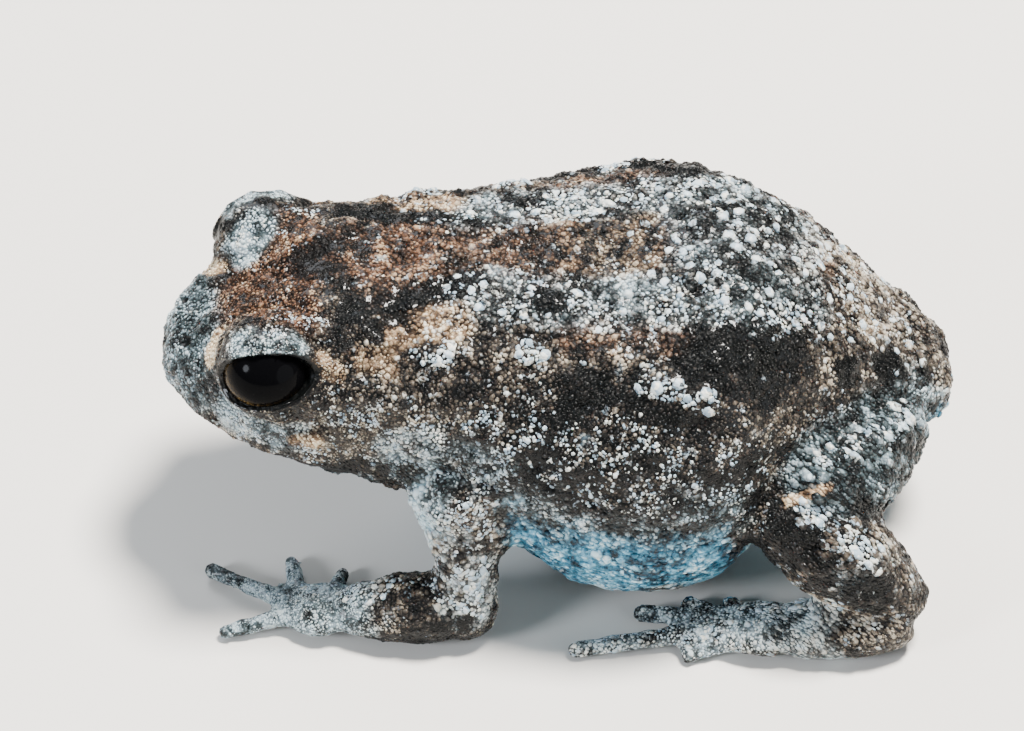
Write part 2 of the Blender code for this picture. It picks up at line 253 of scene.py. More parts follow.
def weigh(piece, name, weights):
    """A vertex group of the piece with a weight for each point."""
    group = piece.vertex_groups.get(name) or piece.vertex_groups.new(name=name)
    steps = np.clip(np.round(np.asarray(weights) * 20), 0, 20).astype(int)
    for step in range(21):
        group.add(np.nonzero(steps == step)[0].tolist(), step / 20, "REPLACE")
    return name


def ease(value, low, high):
    """0 below low, 1 above high, and smooth between."""
    share = np.clip((value - low) / (high - low), 0, 1)
    return share * share * (3 - 2 * share)


def bell(away, wide):
    """1 where nothing is away, and falling off smoothly to next to nothing at twice the width."""
    return np.exp(-(away / wide) ** 2)


bpy.ops.object.select_all(action="DESELECT")
flesh = [name for name in frame["nodes"] if not name.startswith("eye_")]
for name in flesh:
    frame["nodes"][name].select_set(True)
bpy.context.view_layer.objects.active = frame["nodes"]["torso"]
bpy.ops.object.duplicate()
bpy.ops.object.parent_clear(type="CLEAR_KEEP_TRANSFORM")
for piece in bpy.context.selected_objects:
    piece.data.transform(Matrix.Scale(TO_MM, 4))
    rows = points_of(piece)
    share = np.ones(len(rows))
    if piece.name.startswith("foot"):
        share[:] = TOE_SWELL
    if piece.name.startswith("torso"):
        share[(rows[:, 2] < 2.8) & (rows[:, 1] > 0.5) & (rows[:, 1] < 7.5)] = BELLY_SWELL
    weigh(piece, "swell", share)
bpy.ops.object.join()
skin = bpy.context.object
skin.name = "skin"
skin.data.name = "skin"
for key in list(skin.keys()):
    del skin[key]
bpy.ops.object.mode_set(mode="EDIT")
bpy.ops.mesh.select_all(action="SELECT")
bpy.ops.mesh.remove_doubles(threshold=0.001)
bpy.ops.mesh.customdata_custom_splitnormals_clear()
bpy.ops.object.mode_set(mode="OBJECT")
press(skin, "DISPLACE", direction="NORMAL", mid_level=0, strength=SWELL, vertex_group="swell")
skin.vertex_groups.clear()
press(skin, "REMESH", mode="VOXEL", voxel_size=WEAVE, use_smooth_shade=True)
laid = folded(points_of(skin))
toes = (laid[:, 2] < 1.6) & (laid[:, 0] > 4.5) & (laid[:, 1] > -2) & (laid[:, 1] < 7.6)
press(skin, "DISPLACE", direction="NORMAL", mid_level=0, strength=-SWELL,
      vertex_group=weigh(skin, "swell", np.where(toes, TOE_SWELL, 1.0)))
press(skin, "SMOOTH", factor=0.5, iterations=4)

# The seams are rubbed out where the parts of the frame met: a ring behind the jaw, and the roots of the
# arms and thighs.
rows = points_of(skin)
neck = bell(rows[:, 1] - NECK_Y, NECK_WIDTH)
press(skin, "SMOOTH", factor=0.5, iterations=25, vertex_group=weigh(skin, "neck", neck))
roots = np.zeros(len(rows))
for middle, reach in ROOTS:
    roots = np.maximum(roots, bell(np.linalg.norm(folded(rows) - middle, axis=1), reach))
press(skin, "SMOOTH", factor=0.5, iterations=14, vertex_group=weigh(skin, "roots", roots))

# The lids are let down a little over the eyes: in the frame they stand wide open. They slide on a ball
# round the eye, the more the higher they are, and less and less towards brow and cheek.
WIDE_OPEN = (1.35, 1.80, 1.06)
LID_RADIUS = 1.7
LID_DROP = 0.09
LID_CLOSING = 0.17
LID_FADES = (1.0, 1.9)
BROW_FADES = (2.2, 3.2)
rows = points_of(skin)
for side, way in (("left", 1), ("right", -1)):
    axes = eye_axes(way)
    local = (rows - eyes[side]) @ axes
    far = np.linalg.norm(local, axis=1)[:, None]
    on_ball = local / far * LID_RADIUS
    away = np.linalg.norm((on_ball - (OPENING_OUT, 0, 0)) / WIDE_OPEN, axis=1)
    share = (1 - ease(away, *LID_FADES)) * (1 - ease(far[:, 0], *BROW_FADES))
    on_ball[:, 2] -= (LID_DROP + LID_CLOSING * on_ball[:, 2]) * share
    on_ball *= far / np.linalg.norm(on_ball, axis=1)[:, None]
    rows = eyes[side] + on_ball @ axes.T
place_points(skin, rows)

# Its own unwrap is laid out now, while it is still smooth.
bpy.ops.object.mode_set(mode="EDIT")
bpy.ops.mesh.select_all(action="SELECT")
skin.data.uv_layers.new(name="OFBake")
bpy.ops.uv.smart_project(angle_limit=1.15, island_margin=0.002, scale_to_bounds=False)
bpy.ops.object.mode_set(mode="OBJECT")

# Lids, lips, nostrils, folds and great warts are pressed into the skin where the frame has them. Round the
# eyes, mouth and nostrils the hide is woven finer first, for their thin edges.
EYE_RADIUS = 1.49
SNOUT_Y = -13.0
# The line of the lips: how far behind the snout and how high
LIP_LINE = ((0.0, 7.15), (0.9, 6.95), (2.4, 6.75), (4.2, 6.55), (5.6, 6.25), (6.4, 5.75), (6.8, 5.2))
GROOVE_DEEP, GROOVE_WIDE = 0.20, 0.10
LIP_HIGH, LIP_AT, LIP_WIDE = 0.07, 0.34, 0.18
NOSTRIL = (0.92, -12.05, 8.95)
PIT_DEEP, PIT_WIDE = 0.34, 0.17
PIT_RIM_HIGH, PIT_RIM_AT, PIT_RIM_WIDE = 0.06, 0.32, 0.12
# The lids' thick edge: its height, and its place and width in sizes of the opening
RIM_HIGH, RIM_AT, RIM_WIDE = 0.07, 1.12, 0.07
# How far from the eye's centre the skin was, and how far it comes to be: what lies closer than the lids is
# drawn in under the eyeball, and the lids are thinned towards their edges
LID_FROM = (1.60, 1.66, 1.80)
LID_TO = (EYE_RADIUS - 0.03, 1.58, 1.80)


def above_lips(rows):
    """How high each place is above the line of the lips, and how far behind the snout it is."""
    behind = rows[:, 1] - SNOUT_Y
    return rows[:, 2] - np.interp(behind, [s for s, _ in LIP_LINE], [z for _, z in LIP_LINE]), behind


def near_face(rows):
    """Where the hide is woven finer: round the eyes and nostrils and along the lips."""
    above, behind = above_lips(rows)
    lips = (np.abs(above) < 0.35) & (behind < 6.9)
    holes = np.linalg.norm(folded(rows) - NOSTRIL, axis=1) < 0.55
    return (opening(rows) < 1.5) | lips | holes


centres = rows_of(skin.data.polygons, "center").astype(float)
bpy.context.tool_settings.mesh_select_mode = (False, False, True)
bpy.ops.object.mode_set(mode="EDIT")
bpy.ops.mesh.select_all(action="DESELECT")
bpy.ops.object.mode_set(mode="OBJECT")
skin.data.polygons.foreach_set("select", near_face(centres))
bpy.ops.object.mode_set(mode="EDIT")
bpy.ops.mesh.subdivide(number_cuts=1, smoothness=0)
bpy.ops.object.mode_set(mode="OBJECT")
bpy.context.tool_settings.mesh_select_mode = (True, False, False)
press(skin, "SMOOTH", factor=0.5, iterations=2,
      vertex_group=weigh(skin, "face", near_face(points_of(skin))))


def reach_of(rows, start, end):
    """How far each point is from the line between two others."""
    start, end = np.array(start, float), np.array(end, float)
    way = end - start
    share = np.clip((rows - start) @ way / max(way @ way, 1e-9), 0, 1)
    return np.linalg.norm(rows - start - share[:, None] * way, axis=1)


# Each ridge, fold or wart of the left side: its two ends, how wide and how high it stands, in millimetres
RIDGES = (
    ((3.26, -8.75, 11.0), (3.86, -7.5, 10.35), 0.20, 0.16),
    ((2.61, -8.6, 11.2), (2.96, -7.9, 11.0), 0.30, 0.14),
    ((1.81, -11.2, 9.9), (2.21, -10.9, 10.1), 0.25, 0.12),
    ((3.61, -4.7, 10.8), (3.86, -4.2, 10.7), 0.42, 0.17),
    ((2.41, -1.2, 11.4), (2.41, -0.5, 11.4), 0.38, 0.15),
    ((3.9, -1.6, 10.9), (4.1, -1.1, 10.8), 0.42, 0.17),
    ((4.31, 0.9, 10.7), (4.41, 1.6, 10.65), 0.40, 0.16),
    ((5.2, 2.4, 10.3), (5.35, 3.0, 10.2), 0.42, 0.17),
    ((5.51, 3.6, 10.0), (5.71, 4.3, 9.9), 0.45, 0.15),
    ((2.91, -6.9, 11.1), (3.21, -5.6, 10.95), 0.30, 0.10),
    ((4.51, -6.0, 9.6), (4.91, -5.0, 9.4), 0.45, 0.12),
    ((4.3, -8.9, 7.75), (4.45, -8.2, 7.8), 0.30, 0.16),
    ((6.41, 7.0, 6.1), (6.41, 8.2, 6.2), 0.22, 0.14),
    ((7.41, 7.4, 5.5), (7.81, 8.6, 4.7), 0.30, 0.14),
    ((7.71, 8.9, 4.4), (7.51, 9.9, 3.4), 0.28, 0.12),
)
rows = points_of(skin)
laid = folded(rows)
lift = np.zeros(len(rows))
above, behind = above_lips(rows)
on_lips = (1 - ease(behind, 6.2, 7.0)) * (rows[:, 1] < -6)
lift -= GROOVE_DEEP * bell(above, GROOVE_WIDE) * on_lips
lift += LIP_HIGH * bell(np.abs(above) - LIP_AT, LIP_WIDE) * on_lips
hole = np.linalg.norm(laid - NOSTRIL, axis=1)
lift -= PIT_DEEP * bell(hole, PIT_WIDE)
lift += PIT_RIM_HIGH * bell(hole - PIT_RIM_AT, PIT_RIM_WIDE)
for start, end, wide, high in RIDGES:
    lift += high * bell(reach_of(laid, start, end), wide)
lift += RIM_HIGH * bell(opening(rows) - RIM_AT, RIM_WIDE)
rows += normals_of(skin) * lift[:, None]
for centre in eyes.values():
    arm = rows - centre
    far = np.linalg.norm(arm, axis=1)
    wanted = np.where(far < LID_FROM[-1], np.interp(far, LID_FROM, LID_TO), far)
    rows = centre + arm * (wanted / far)[:, None]
place_points(skin, rows)

# The hide is uneven everywhere: slow swellings, warts and granules, strongest on back and flanks and faint
# on lids, lips, digits and belly.
# Each kind of unevenness, with its size and how high it stands
RELIEF = (("CLOUDS", 2.6, 0.26), ("VORONOI", 0.95, -0.24), ("CLOUDS", 0.55, 0.17), ("VORONOI", 0.42, -0.12))
SKIN_TRIANGLES = 195_000
rows = points_of(skin)
rough = 0.55 + 0.45 * ease(rows[:, 2], 1.5, 5.5)
rough *= 1 - 0.6 * (1 - ease(np.abs(above), 0.15, 0.55)) * on_lips
rough *= ease(opening(rows), 1.04, 1.4)
digits = (rows[:, 2] < 0.95) & (np.abs(rows[:, 0] - MIDDLE) > 2.2)
rough = np.where(digits, rough * 0.6, rough)
for kind, scale, strength in RELIEF:
    grain = bpy.data.textures.new("relief", kind)
    grain.noise_scale = scale
    press(skin, "DISPLACE", direction="NORMAL", texture=grain, texture_coords="LOCAL", mid_level=0.5,
          strength=strength, vertex_group=weigh(skin, "rough", rough))
have = sum(len(face.vertices) - 2 for face in skin.data.polygons)
press(skin, "DECIMATE", decimate_type="COLLAPSE", ratio=SKIN_TRIANGLES / have,
      use_collapse_triangulate=True, vertex_group_factor=1.0,
      vertex_group=weigh(skin, "coarse", 1 - 0.8 * near_face(points_of(skin))))
rows = points_of(skin)
rows[:, 2] = np.maximum(rows[:, 2], 0)
place_points(skin, rows)
skin.vertex_groups.clear()
skin.data.shade_smooth()

# The markings, the same on hide and granules. Each patch of the left side has two ends, measured from the
# frog's middle plane, a reach, all in millimetres, and a strength. The right side has them mirrored, but
# its patches are broken up otherwise.
RUST = (
    ((0.0, -8.4, 11.4), (0.0, -10.8, 10.9), 1.9, 1.0),
    ((2.1, -9.3, 11.2), (2.1, -8.6, 11.2), 1.0, 1.0),
    ((0.2, -6.5, 11.6), (0.4, -4.6, 11.6), 1.7, 0.8),
    ((0.9, -2.8, 11.7), (0.8, -0.5, 11.7), 1.5, 0.6),
    ((3.6, 0.2, 11.1), (3.9, 3.4, 10.9), 0.8, 0.6),
    ((0.0, 3.6, 11.9), (0.4, 9.0, 10.6), 1.2, 0.5),
)
TAN = (
    ((2.9, -5.3, 11.1), (2.8, -3.7, 11.3), 0.85, 0.8),
    ((3.5, -6.8, 10.7), (3.9, -5.8, 10.5), 0.6, 0.5),
    ((1.55, -11.10, 9.85), (2.15, -11.35, 9.45), 0.36, 1.8),
    ((6.48, 6.70, 6.00), (6.26, 8.1, 6.31), 0.20, 1.6),
    ((4.3, -8.8, 7.8), (4.5, -8.2, 7.9), 0.32, 1.2),
    ((3.6, -8.0, 10.5), (3.9, -7.4, 10.2), 0.35, 0.9),
    ((0.7, 0.4, 11.7), (0.6, 2.6, 11.7), 1.0, 0.35),
    ((1.0, 7.6, 11.0), (1.6, 9.8, 9.2), 0.9, 0.2),
)
SLATE = (
    ((0.0, -12.6, 8.6), (1.2, -12.2, 8.6), 1.9, 1.1),
    ((3.2, -10.9, 8.3), (3.9, -9.0, 7.9), 1.0, 0.8),
    ((3.3, -10.2, 10.9), (3.6, -9.0, 11.0), 0.75, 1.0),
    ((5.4, -4.9, 5.2), (5.2, -4.4, 6.6), 1.0, 1.0),
    ((6.7, -1.9, 5.0), (6.5, -2.0, 6.2), 1.0, 0.8),
    ((2.0, -3.0, 11.5), (2.8, 5.6, 11.3), 1.3, 0.6),
    ((0.6, 5.0, 11.8), (1.5, 7.4, 11.0), 2.0, 0.6),
    ((-1.6, -10.3, 10.8), (-2.3, -9.6, 11.1), 0.8, 1.1),
    ((5.1, -3.4, 5.3), (6.0, -3.5, 1.8), 1.3, 0.6),
    ((5.6, -1.0, 5.1), (6.4, 4.4, 5.8), 1.8, 0.7),
    ((5.0, -5.4, 7.6), (5.8, -1.2, 6.8), 1.3, 0.6),
    ((2.6, 10.6, 5.6), (5.0, 8.3, 5.8), 2.1, 1.0),
    ((6.0, 9.9, 2.4), (7.4, 8.8, 3.6), 1.2, 0.5),
    ((5.2, -8.2, 0.6), (2.4, -10.2, 0.4), 2.4, 0.9),
    ((3.6, -10.8, 0.5), (2.6, -12.4, 0.4), 1.6, 0.9),
    ((5.4, -9.8, 0.5), (5.7, -12.2, 0.4), 1.6, 0.9),
    ((6.9, 8.0, 0.7), (6.9, -0.6, 0.4), 1.9, 0.8),
    ((0.0, -9.5, 5.4), (3.2, -7.2, 5.4), 1.8, 1.0),
)
INK_AND_SHADE_PATCHES = (
    ((2.35, -6.9, 11.3), (1.4, -2.7, 11.6), 0.42, 0.9),
    ((0.1, -8.7, 11.4), (0.6, -7.7, 11.4), 0.45, 0.8),
    ((2.9, -6.3, 11.2), (2.6, -5.4, 11.3), 0.32, 0.8),
    ((2.3, -1.1, 11.4), (2.4, -0.3, 11.4), 0.45, 0.8),
    ((4.4, 4.2, 10.8), (3.9, 6.8, 10.4), 0.95, 0.9),
    ((4.9, 3.6, 10.2), (4.9, 6.2, 9.6), 0.8, 0.7),
    ((5.3, 0.2, 9.9), (5.6, 3.0, 9.4), 0.7, 0.6),
    ((3.3, 8.9, 8.6), (3.25, 9.1, 8.5), 0.45, 1.8),
    ((2.4, 10.4, 7.9), (2.2, 10.6, 7.8), 0.50, 1.8),
    ((1.9, 11.75, 6.8), (1.8, 11.9, 6.7), 0.36, 1.5),
    ((6.9, 6.8, 5.5), (7.3, 7.4, 4.9), 0.75, 0.9),
    ((6.5, 7.2, 3.6), (6.4, 9.8, 2.6), 0.7, 0.8),
    ((6.4, -4.0, 1.0), (5.4, -6.6, 0.9), 1.0, 0.8),
    # This long patch darkens the middle of the flank: partly its own dark colour and partly painted shade
    # on the side turned away from the lamp over the back
    ((6.2, -1.0, 8.6), (6.6, 4.6, 7.8), 1.9, 0.45),
    ((7.2, 8.0, 4.4), (7.6, 9.6, 3.0), 1.0, 0.6),
    ((5.0, -0.6, 10.4), (5.0, 2.0, 10.2), 0.5, 0.6),
    ((3.4, 10.2, 5.6), (5.4, 8.4, 5.4), 1.8, 0.50),
    ((4.4, -7.6, 6.4), (5.2, -5.8, 6.4), 0.8, 0.5),
    ((0.6, 5.0, 11.8), (1.8, 7.2, 11.0), 2.0, 0.25),
    ((6.0, 6.4, 4.0), (6.6, 5.6, 3.4), 1.0, 0.8),
)
# White patches on hide and granules: partly the frog's own white warts and partly painted glints and sheen
# of the wet skin, as along the brow's edge
FROST_AND_GLINT_PATCHES = (
    ((3.25, -9.2, 11.0), (3.75, -7.9, 10.55), 0.16, 1.2),
    ((2.55, -8.8, 11.2), (2.6, -7.9, 11.2), 0.26, 1.2),
    ((3.0, -10.2, 10.9), (3.1, -9.5, 11.1), 0.45, 0.8),
    ((-1.6, -10.5, 10.7), (-1.9, -10.0, 11.0), 0.42, 1.2),
    ((-2.0, -9.4, 11.3), (-1.7, -9.0, 11.4), 0.30, 1.0),
    ((3.60, -4.8, 10.8), (3.90, -4.1, 10.7), 0.50, 1.2),
    ((3.9, -1.6, 10.9), (4.1, -1.1, 10.8), 0.42, 1.2),
    ((5.2, 2.4, 10.3), (5.4, 3.0, 10.2), 0.48, 1.2),
    ((5.5, 3.6, 10.0), (5.7, 4.3, 9.9), 0.45, 1.1),
    ((1.8, -3.6, 11.5), (2.8, 4.6, 11.4), 1.2, 0.62),
    ((0.6, 4.6, 11.8), (2.0, 7.2, 11.1), 1.6, 0.38),
    ((3.2, 4.6, 11.3), (2.7, 7.4, 10.7), 0.9, 0.75),
    ((0.8, 8.2, 10.4), (1.2, 11.2, 8.0), 1.2, 0.35),
    ((3.6, 10.9, 6.6), (5.4, 8.2, 6.8), 0.50, 0.8),
    ((6.7, 7.5, 5.8), (7.6, 9.4, 4.4), 0.55, 0.9),
    ((7.7, 9.4, 3.6), (7.6, 8.0, 2.4), 0.5, 0.5),
    ((6.4, -2.8, 6.0), (6.8, -3.2, 2.0), 0.6, 0.9),
    ((5.7, -3.8, 5.6), (6.0, -3.9, 2.2), 0.9, 0.8),
    ((5.9, -4.4, 1.9), (5.2, -7.4, 1.5), 0.55, 0.8),
    ((4.9, -8.0, 1.1), (4.2, -9.0, 0.8), 0.7, 0.6),
    ((7.0, 8.8, 1.7), (6.7, 5.4, 1.1), 0.45, 0.8),
    ((7.0, 5.4, 0.6), (7.3, 3.8, 0.4), 0.45, 1.2),
    ((7.2, 7.0, 0.8), (7.2, 0.2, 0.4), 0.9, 0.6),
    ((4.3, -7.6, 8.6), (5.0, -5.0, 8.2), 1.2, 0.6),
    ((5.6, -2.0, 8.2), (6.4, 4.6, 7.2), 2.1, 0.62),
    ((3.4, -10.4, 7.6), (4.3, -8.4, 7.3), 0.7, 0.6),
)
PALE = (
    ((4.9, -8.6, 0.8), (3.8, -9.8, 0.4), 2.9, 0.9),
    ((7.3, 7.4, 0.9), (7.0, 0.0, 0.3), 1.9, 0.9),
    ((5.2, -3.4, 5.4), (6.1, -3.5, 1.4), 1.2, 0.9),
    ((5.3, -4.8, 5.8), (5.5, -4.6, 4.2), 0.8, 1.0),
    ((3.6, -11.2, 0.5), (2.6, -12.4, 0.4), 1.6, 0.9),
    ((5.4, -10.4, 0.5), (5.7, -12.2, 0.4), 1.6, 0.9),
    ((4.6, -8.0, 8.2), (5.0, -5.6, 8.2), 1.1, 0.6),
    ((1.55, -11.10, 9.85), (2.15, -11.35, 9.45), 0.40, 1.3),
    ((6.48, 6.70, 6.00), (6.26, 8.1, 6.31), 0.25, 1.0),
    ((6.4, -2.8, 6.0), (6.8, -3.2, 2.0), 0.9, 0.6),
    ((3.3, -10.2, 10.9), (3.6, -9.0, 11.0), 0.7, 0.7),
    ((1.0, 9.0, 9.6), (1.2, 12.0, 6.6), 1.6, 0.4),
    ((0.0, -12.6, 8.8), (1.2, -12.4, 8.2), 1.6, 0.2),
    ((3.2, -10.8, 8.0), (4.6, -7.6, 7.8), 1.2, 0.5),
    ((-1.5, -10.4, 10.7), (-2.1, -9.4, 11.2), 0.7, 0.6),
)
# The blue of the belly fades out between these heights. It leaves out what lies near the bones of the
# limbs: upper arm, forearm, thigh, shank and foot, each with its reach
BELLY_TOP = 6.4
BELLY_FLOOR = 4.2
LIMB_LINES = (
    ((4.7, -3.35, 5.7), (5.95, -3.5, 1.15), 1.5),
    ((5.95, -3.5, 1.15), (5.2, -8.5, 0.7), 1.6),
    ((6.2, 7.0, 4.7), (3.0, 10.2, 5.4), 2.2),
    ((6.2, 7.0, 4.7), (6.9, 10.2, 1.9), 1.9),
    ((7.3, 10.0, 1.0), (6.9, 3.0, 0.6), 1.6),
)
# Smooth pale skin: the folds before and behind the upper arm, the hand's inner edge, and under the thigh
FOLDS = (
    ((4.9, -4.7, 5.9), (5.5, -4.6, 4.4), 0.70, 0.8),
    ((6.2, -2.2, 6.1), (6.5, -2.5, 5.0), 0.65, 0.8),
    ((4.5, -6.8, 1.3), (4.1, -8.3, 0.8), 0.70, 0.9),
    ((2.6, 10.6, 4.6), (4.8, 9.2, 4.4), 1.10, 0.7),
)
FOLD_BLUE = 0.45
# The lids' edges next to the eyeball and the nostril pits are painted black, as painted shade in these
# recesses: as far as this, in sizes of the opening and in millimetres
LID_MARGIN = 1.10
PIT_DARK = (0.15, 0.30)


def patches(rows, marks):
    """How strongly each place wears one kind of marking, from 0 to 1. A patch with x below 0 is on the
    right side only."""
    laid = folded(rows)
    apart = rows - (MIDDLE, 0, 0)
    worn = np.zeros(len(rows))
    for start, end, reach, strength in marks:
        away = reach_of(laid if start[0] >= 0 else apart, start, end)
        worn = np.maximum(worn, strength * (1 - ease(away, 0.45 * reach, 1.35 * reach)))
    return np.clip(worn, 0, 1)


def bareness(rows, folds=1.0):
    """Where the skin is smooth and pale: the belly and, so strongly, the folds at the limbs."""
    laid = folded(rows)
    belly = (1 - ease(laid[:, 2], BELLY_FLOOR, BELLY_TOP)) * ease(laid[:, 1], -5.5, -4.0)
    belly *= (laid[:, 0] < 5.7) | (laid[:, 2] > 1.0)
    belly *= 1 - ease(laid[:, 1], 5.5, 7.0) * ease(laid[:, 0], 4.2, 5.2)
    for start, end, reach in LIMB_LINES:
        belly *= ease(reach_of(laid, start, end), 0.75 * reach, 1.15 * reach)
    return np.maximum(belly, folds * patches(rows, FOLDS))


def dress(piece, rows, tone, pearl, times=1):
    """Writes the markings at these places on the points of a piece, each place for so many points, with how
    light and how pearly each point is."""
    belly = bareness(rows, FOLD_BLUE)
    # Painted shade: the hide is darkened at the lids' edges next to the eyeball and in the nostril pits,
    # together with the dark markings
    dark = np.maximum(patches(rows, INK_AND_SHADE_PATCHES), 1 - ease(opening(rows), 1.0, LID_MARGIN))
    dark = np.maximum(dark, 1 - ease(np.linalg.norm(folded(rows) - NOSTRIL, axis=1), *PIT_DARK))
    for name, kinds in (("marks_a", (RUST, TAN, SLATE)), ("marks_b", (dark, FROST_AND_GLINT_PATCHES, belly))):
        layer = piece.data.attributes.new(name, "FLOAT_COLOR", "POINT")
        worn = [kind if isinstance(kind, np.ndarray) else patches(rows, kind) for kind in (*kinds, PALE)]
        worn = np.repeat(np.stack(worn, 1), times, 0)
        layer.data.foreach_set("color", worn.astype(np.float32).ravel())
    for name, values in (("tone", tone), ("pearl", pearl)):
        layer = piece.data.attributes.new(name, "FLOAT", "POINT")
        layer.data.foreach_set("value", np.asarray(values, np.float32))


# How light and pearly the hide is between the granules, where it is darkened as painted shade in the
# hollows, and how light where it is bare
HOLLOW_SHADE_TONE = -0.85
HOLLOW_PEARL = -0.2
BARE_TONE = -0.3
rows = points_of(skin)
bare = bareness(rows)
dress(skin, rows, HOLLOW_SHADE_TONE + (BARE_TONE - HOLLOW_SHADE_TONE) * bare, HOLLOW_PEARL * (1 - bare))

# Wet granular skin: pigment in patches over a dark ground, under a film of water. Its colour is near
# black in the hollows between the granules, where it is darkened as painted shade, brown, rust or slate on
# the swellings, with white flecks that are partly its own and partly painted glints, and it glitters all
# over.
# Each pigment from its darkest to its lightest
BROWN = ("#030404", "#0f0e0e", "#28231f", "#544c42", "#a09584")
RUSTY = ("#060403", "#1a110b", "#3d291d", "#684b38", "#9c8265")
SANDY = ("#0e0b08", "#37291e", "#6f5944", "#a38a6b", "#d2c0a3")
STONE = ("#07090a", "#192022", "#3e494c", "#74838a", "#b6c4c8")
BLUISH = ("#04121b", "#12374a", "#326a82", "#6ba0b7", "#b8d4df")
# The white flecks: partly the frog's own white and partly painted glints of the wet skin, cool and bluish
WHITE_FLECKS_AND_GLINTS = ("#7f93a1", "#b8c6ce", "#dad7ca")
# Sizes in millimetres: blotches, ragged patches, cells as wide as a granule, grit and the finest grain.
# Grit and grain are drawn about twice as coarse as they are, or they would not show
BLOTCH = 1.6
PATCH = 0.55
CELL = 0.19
GRIT = 0.12
FINE = 0.09
# Where a ragged patch begins and is full, and where a white fleck, partly a painted glint, does
PATCH_EDGE = (0.25, 0.95)
FLECK_EDGE = (0.75, 1.05)
ROUGHNESS = (0.32, 0.62)
# The film of water: how much of the skin it wets, how smooth it is, and water's index
FILM, FILM_ROUGHNESS, WATER = 0.38, 0.08, 1.33
# How far light goes under the skin and how high its relief stands, in metres
SOAK = 0.0004
CELL_HIGH = 0.00006
GRAIN_HIGH = 0.00002


def per_metre(millimetres):
    """The scale of a pattern whose features have this size."""
    return TO_MM / millimetres


hide, tree, shader = new_material("wet granular skin")
place = add(tree, "ShaderNodeTexCoord").outputs["Object"]
marks_a = add(tree, "ShaderNodeAttribute", attribute_name="marks_a").outputs["Color"]
marks_b = add(tree, "ShaderNodeAttribute", attribute_name="marks_b").outputs["Color"]
pale = add(tree, "ShaderNodeAttribute", attribute_name="marks_b").outputs["Alpha"]
tone = add(tree, "ShaderNodeAttribute", attribute_name="tone").outputs["Fac"]
pearl = add(tree, "ShaderNodeAttribute", attribute_name="pearl").outputs["Fac"]
rust, tan, slate = add(tree, "ShaderNodeSeparateColor", {"Color": marks_a}).outputs
ink_and_shade, frost_and_glints, belly = add(tree, "ShaderNodeSeparateColor", {"Color": marks_b}).outputs
blotch = add(tree, "ShaderNodeTexNoise", {"Vector": place, "Scale": per_metre(BLOTCH), "Detail": 3,
                                          "Roughness": 0.6}).outputs["Fac"]
patch = add(tree, "ShaderNodeTexNoise", {"Vector": place, "Scale": per_metre(PATCH), "Detail": 4,
                                         "Roughness": 0.65}).outputs["Fac"]
fine = add(tree, "ShaderNodeTexNoise", {"Vector": place, "Scale": per_metre(FINE),
                                        "Detail": 2}).outputs["Fac"]
cells = add(tree, "ShaderNodeTexVoronoi", {"Vector": place, "Scale": per_metre(CELL)})
grit = add(tree, "ShaderNodeTexVoronoi", {"Vector": place, "Scale": per_metre(GRIT)})
chances = add(tree, "ShaderNodeSeparateColor", {"Color": cells.outputs["Color"]}).outputs
shade_of, frost_glint_of, white_of = chances
# How light the pigment is, how ragged the patches' edges are, how white each cell is with flecks and
# painted
# glints, and its relief: each is a start and a sum of patterns and markings, every one with its own weight
sums = {}
for name, total, terms in (
    ("lightness", -1.23, ((blotch, 1.2), (patch, 1.6), (shade_of, 0.30), (fine, 0.4), (tone, 0.40),
                          (ink_and_shade, -0.70), (frost_and_glints, 0.10), (pale, 0.40))),
    ("ragged", -1.35, ((patch, 1.35), (blotch, 1.35))),
    ("white_and_glinting", -0.25, ((frost_glint_of, 0.75), (frost_and_glints, 0.25), (pearl, 0.70), (fine, 0.6), (tone, 0.20),
                        (ink_and_shade, -0.3))),
    ("relief", 1.0, ((cells.outputs["Distance"], -1.0), (grit.outputs["Distance"], -0.5))),
):
    for value, weight in terms:
        total = add(tree, "ShaderNodeMath", {0: value, 1: weight, 2: total},
                    operation="MULTIPLY_ADD").outputs[0]
    sums[name] = total
rust, slate, tan, belly = (
    add(tree, "ShaderNodeMath", {0: mark, 1: sums["ragged"]}, operation="ADD").outputs[0]
    for mark in (rust, slate, tan, belly))
# The pigments lie over each other in this order, the white flecks, partly painted glints, on top
colour = None
for hues, light, worn, edge in (
    (BROWN, sums["lightness"], None, None),
    (RUSTY, sums["lightness"], rust, PATCH_EDGE),
    (STONE, sums["lightness"], slate, PATCH_EDGE),
    (SANDY, sums["lightness"], tan, PATCH_EDGE),
    (BLUISH, sums["lightness"], belly, PATCH_EDGE),
    (WHITE_FLECKS_AND_GLINTS, white_of, sums["white_and_glinting"], FLECK_EDGE),
):
    ramp = add(tree, "ShaderNodeValToRGB", {"Fac": light})
    for spot, code in enumerate(hues):
        stop = ramp.color_ramp.elements[spot] if spot < 2 else ramp.color_ramp.elements.new(1.0)
        stop.position = spot / (len(hues) - 1)
        stop.color = linear(code)
    if worn is None:
        colour = ramp.outputs["Color"]
        continue
    share = add(tree, "ShaderNodeMapRange", {"Value": worn, "From Min": edge[0], "From Max": edge[1]})
    colour = add(tree, "ShaderNodeMix", {"Factor": share.outputs["Result"], 6: colour,
                                         7: ramp.outputs["Color"]}, data_type="RGBA").outputs[2]
tree.links.new(colour, shader.inputs["Base Color"])
gloss = add(tree, "ShaderNodeMapRange", {"Value": fine, "To Min": ROUGHNESS[0], "To Max": ROUGHNESS[1]})
tree.links.new(gloss.outputs["Result"], shader.inputs["Roughness"])
shader.inputs["Specular IOR Level"].default_value = 0.08
shader.inputs["Coat Weight"].default_value = FILM
shader.inputs["Coat Roughness"].default_value = FILM_ROUGHNESS
shader.inputs["Coat IOR"].default_value = WATER
shader.inputs["Subsurface Weight"].default_value = 0.06
shader.inputs["Subsurface Scale"].default_value = SOAK
